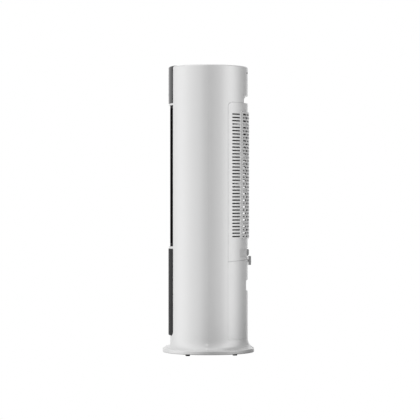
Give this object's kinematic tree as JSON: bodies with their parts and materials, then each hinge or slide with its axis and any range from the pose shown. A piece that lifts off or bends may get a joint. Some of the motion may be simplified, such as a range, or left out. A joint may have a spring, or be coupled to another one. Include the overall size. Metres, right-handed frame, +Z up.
{
  "type": "air purifier",
  "caption": "Round tower air purifier with a dark front strip, slatted rear cover over its filters, swinging outlet vanes and a pull-out water drawer.",
  "frame": {"origin": "centre of the footprint on the floor, under the tower axis", "axes": "+Z up; the dark front strip faces -Y, the rear cover faces +Y; +X is the side the reference view shows"},
  "size_m": [0.3484, 0.3484, 1.0916],
  "materials": {
    "white_shell": "satin moulded plastic",
    "grey_base": "matt moulded plastic",
    "foot_rubber": "matt",
    "steel_screw": "zinc plated",
    "display_gloss": "polished black",
    "strip_satin": "satin black",
    "outlet_black": "matt black",
    "board_green": "solder mask",
    "knob_grey": "satin mid grey",
    "deck_grey": "moulded",
    "motor_black": "black",
    "fan_grey": "moulded",
    "shaft_steel": "ground",
    "bearing_bronze": "sintered",
    "mount_rubber": "matt",
    "filter_plastic": "moulded dark",
    "filter_paper": "pleated",
    "carbon_black": "granule mat",
    "mesh_grey": "woven mesh",
    "foam_seal": "foam",
    "pad_fibre": "fibre mat",
    "hose_silicone": "translucent",
    "loom_sleeve": "braided sleeve",
    "impeller_white": "moulded",
    "tank_clear": "translucent smoke",
    "tank_lid_grey": "moulded",
    "float_white": "foamed"
  },
  "bodies": {
    "tower": {"front_shell": "white_shell", "rear_shell": "white_shell", "top_cap": "white_shell", "handle_pocket": "white_shell", "base_tray": "grey_base", "rubber_feet": "foot_rubber", "base_screws": "steel_screw", "deck_screws": "steel_screw", "display_window": "display_gloss", "lower_front_panel": "strip_satin", "outlet_frame": "outlet_black", "scroll_housing": "outlet_black", "display_board": "board_green", "main_board": "board_green", "power_board": "board_green", "lower_deck": "deck_grey", "upper_deck": "deck_grey", "filter_bulkhead": "deck_grey", "tank_bay": "deck_grey", "drip_tray": "deck_grey", "water_trough": "deck_grey", "pump_body": "deck_grey", "dust_sensor": "deck_grey", "fan_motor": "motor_black", "swing_motor": "motor_black", "power_inlet": "motor_black", "top_bearing": "bearing_bronze", "motor_mounts": "mount_rubber", "wet_pad": "pad_fibre", "riser_tube": "hose_silicone", "wiring_loom": "loom_sleeve", "latch_boss": "white_shell"},
    "fan": {"fan_wheel": "fan_grey", "fan_shaft": "shaft_steel"},
    "cover": {"rear_cover": "white_shell", "intake_lattice": "white_shell", "filter_frame": "filter_plastic", "hepa_filter": "filter_paper", "carbon_filter": "carbon_black", "prefilter_mesh": "mesh_grey", "filter_seal": "foam_seal"},
    "tab": {"release_tab": "knob_grey"},
    "tank": {"tank_shell": "tank_clear", "tank_lid": "tank_lid_grey", "tank_front": "white_shell", "drawer_cup": "white_shell", "drawer_bracket": "white_shell"},
    "float": {"tank_float": "float_white"},
    "latch": {"turn_latch": "knob_grey"},
    "pump": {"pump_impeller": "impeller_white"},
    "link": {"vane_link_bar": "outlet_black"},
    "blade_1": {"vane_1": "outlet_black"},
    "blade_2": {"vane_2": "outlet_black"},
    "blade_3": {"vane_3": "outlet_black"},
    "blade_4": {"vane_4": "outlet_black", "swing_shaft": "shaft_steel"},
    "blade_5": {"vane_5": "outlet_black"},
    "blade_6": {"vane_6": "outlet_black"},
    "blade_7": {"vane_7": "outlet_black"},
    "blade_8": {"vane_8": "outlet_black"}
  },
  "joints": [
    {"name": "fan_spin", "type": "hinge", "parent": "tower", "child": "fan", "pos_m": [0, -0.03, 0.66], "axis": [0, 0, 1], "continuous": true},
    {"name": "cover_pull", "type": "slide", "parent": "tower", "child": "cover", "axis": [0, 1, 0], "range_m": [0, 0.22]},
    {"name": "tab_press", "type": "slide", "parent": "cover", "child": "tab", "axis": [0, -1, 0], "range_m": [0, 0.004], "stiffness_N_per_m": 1500, "springref_m": -0.002},
    {"name": "drawer_pull", "type": "slide", "parent": "tower", "child": "tank", "axis": [0, 1, 0], "range_m": [0, 0.2]},
    {"name": "float_rise", "type": "slide", "parent": "tank", "child": "float", "axis": [0, 0, 1], "range_m": [0, 0.2]},
    {"name": "latch_turn", "type": "hinge", "parent": "tower", "child": "latch", "pos_m": [0, 0.15, 0.3557], "axis": [0, 1, 0], "range_deg": [0, 90]},
    {"name": "pump_spin", "type": "hinge", "parent": "tower", "child": "pump", "pos_m": [0, -0.048, 0.092], "axis": [0, 1, 0], "continuous": true},
    {"name": "blade_1_swing", "type": "hinge", "parent": "tower", "child": "blade_1", "pos_m": [-0.049, -0.12679, 0.677], "axis": [0, 0, 1], "range_deg": [-25, 25]},
    {"name": "blade_2_swing", "type": "hinge", "parent": "tower", "child": "blade_2", "pos_m": [-0.035, -0.13102, 0.677], "axis": [0, 0, 1], "range_deg": [-25, 25]},
    {"name": "blade_3_swing", "type": "hinge", "parent": "tower", "child": "blade_3", "pos_m": [-0.021, -0.13377, 0.677], "axis": [0, 0, 1], "range_deg": [-25, 25]},
    {"name": "blade_4_swing", "type": "hinge", "parent": "tower", "child": "blade_4", "pos_m": [-0.007, -0.13513, 0.677], "axis": [0, 0, 1], "range_deg": [-25, 25]},
    {"name": "blade_5_swing", "type": "hinge", "parent": "tower", "child": "blade_5", "pos_m": [0.007, -0.13513, 0.677], "axis": [0, 0, 1], "range_deg": [-25, 25]},
    {"name": "blade_6_swing", "type": "hinge", "parent": "tower", "child": "blade_6", "pos_m": [0.021, -0.13377, 0.677], "axis": [0, 0, 1], "range_deg": [-25, 25]},
    {"name": "blade_7_swing", "type": "hinge", "parent": "tower", "child": "blade_7", "pos_m": [0.035, -0.13102, 0.677], "axis": [0, 0, 1], "range_deg": [-25, 25]},
    {"name": "blade_8_swing", "type": "hinge", "parent": "tower", "child": "blade_8", "pos_m": [0.049, -0.12679, 0.677], "axis": [0, 0, 1], "range_deg": [-25, 25]},
    {"name": "link_sway", "type": "hinge", "parent": "blade_4", "child": "link", "pos_m": [-0.007, -0.12713, 0.905], "axis": [0, 0, 1], "range_deg": [-25, 25]}
  ],
  "couplings": [
    {"joint": "blade_1_swing", "follows": "blade_4_swing", "ratio": 1},
    {"joint": "blade_2_swing", "follows": "blade_4_swing", "ratio": 1},
    {"joint": "blade_3_swing", "follows": "blade_4_swing", "ratio": 1},
    {"joint": "blade_5_swing", "follows": "blade_4_swing", "ratio": 1},
    {"joint": "blade_6_swing", "follows": "blade_4_swing", "ratio": 1},
    {"joint": "blade_7_swing", "follows": "blade_4_swing", "ratio": 1},
    {"joint": "blade_8_swing", "follows": "blade_4_swing", "ratio": 1},
    {"joint": "link_sway", "follows": "blade_4_swing", "ratio": -1}
  ]
}
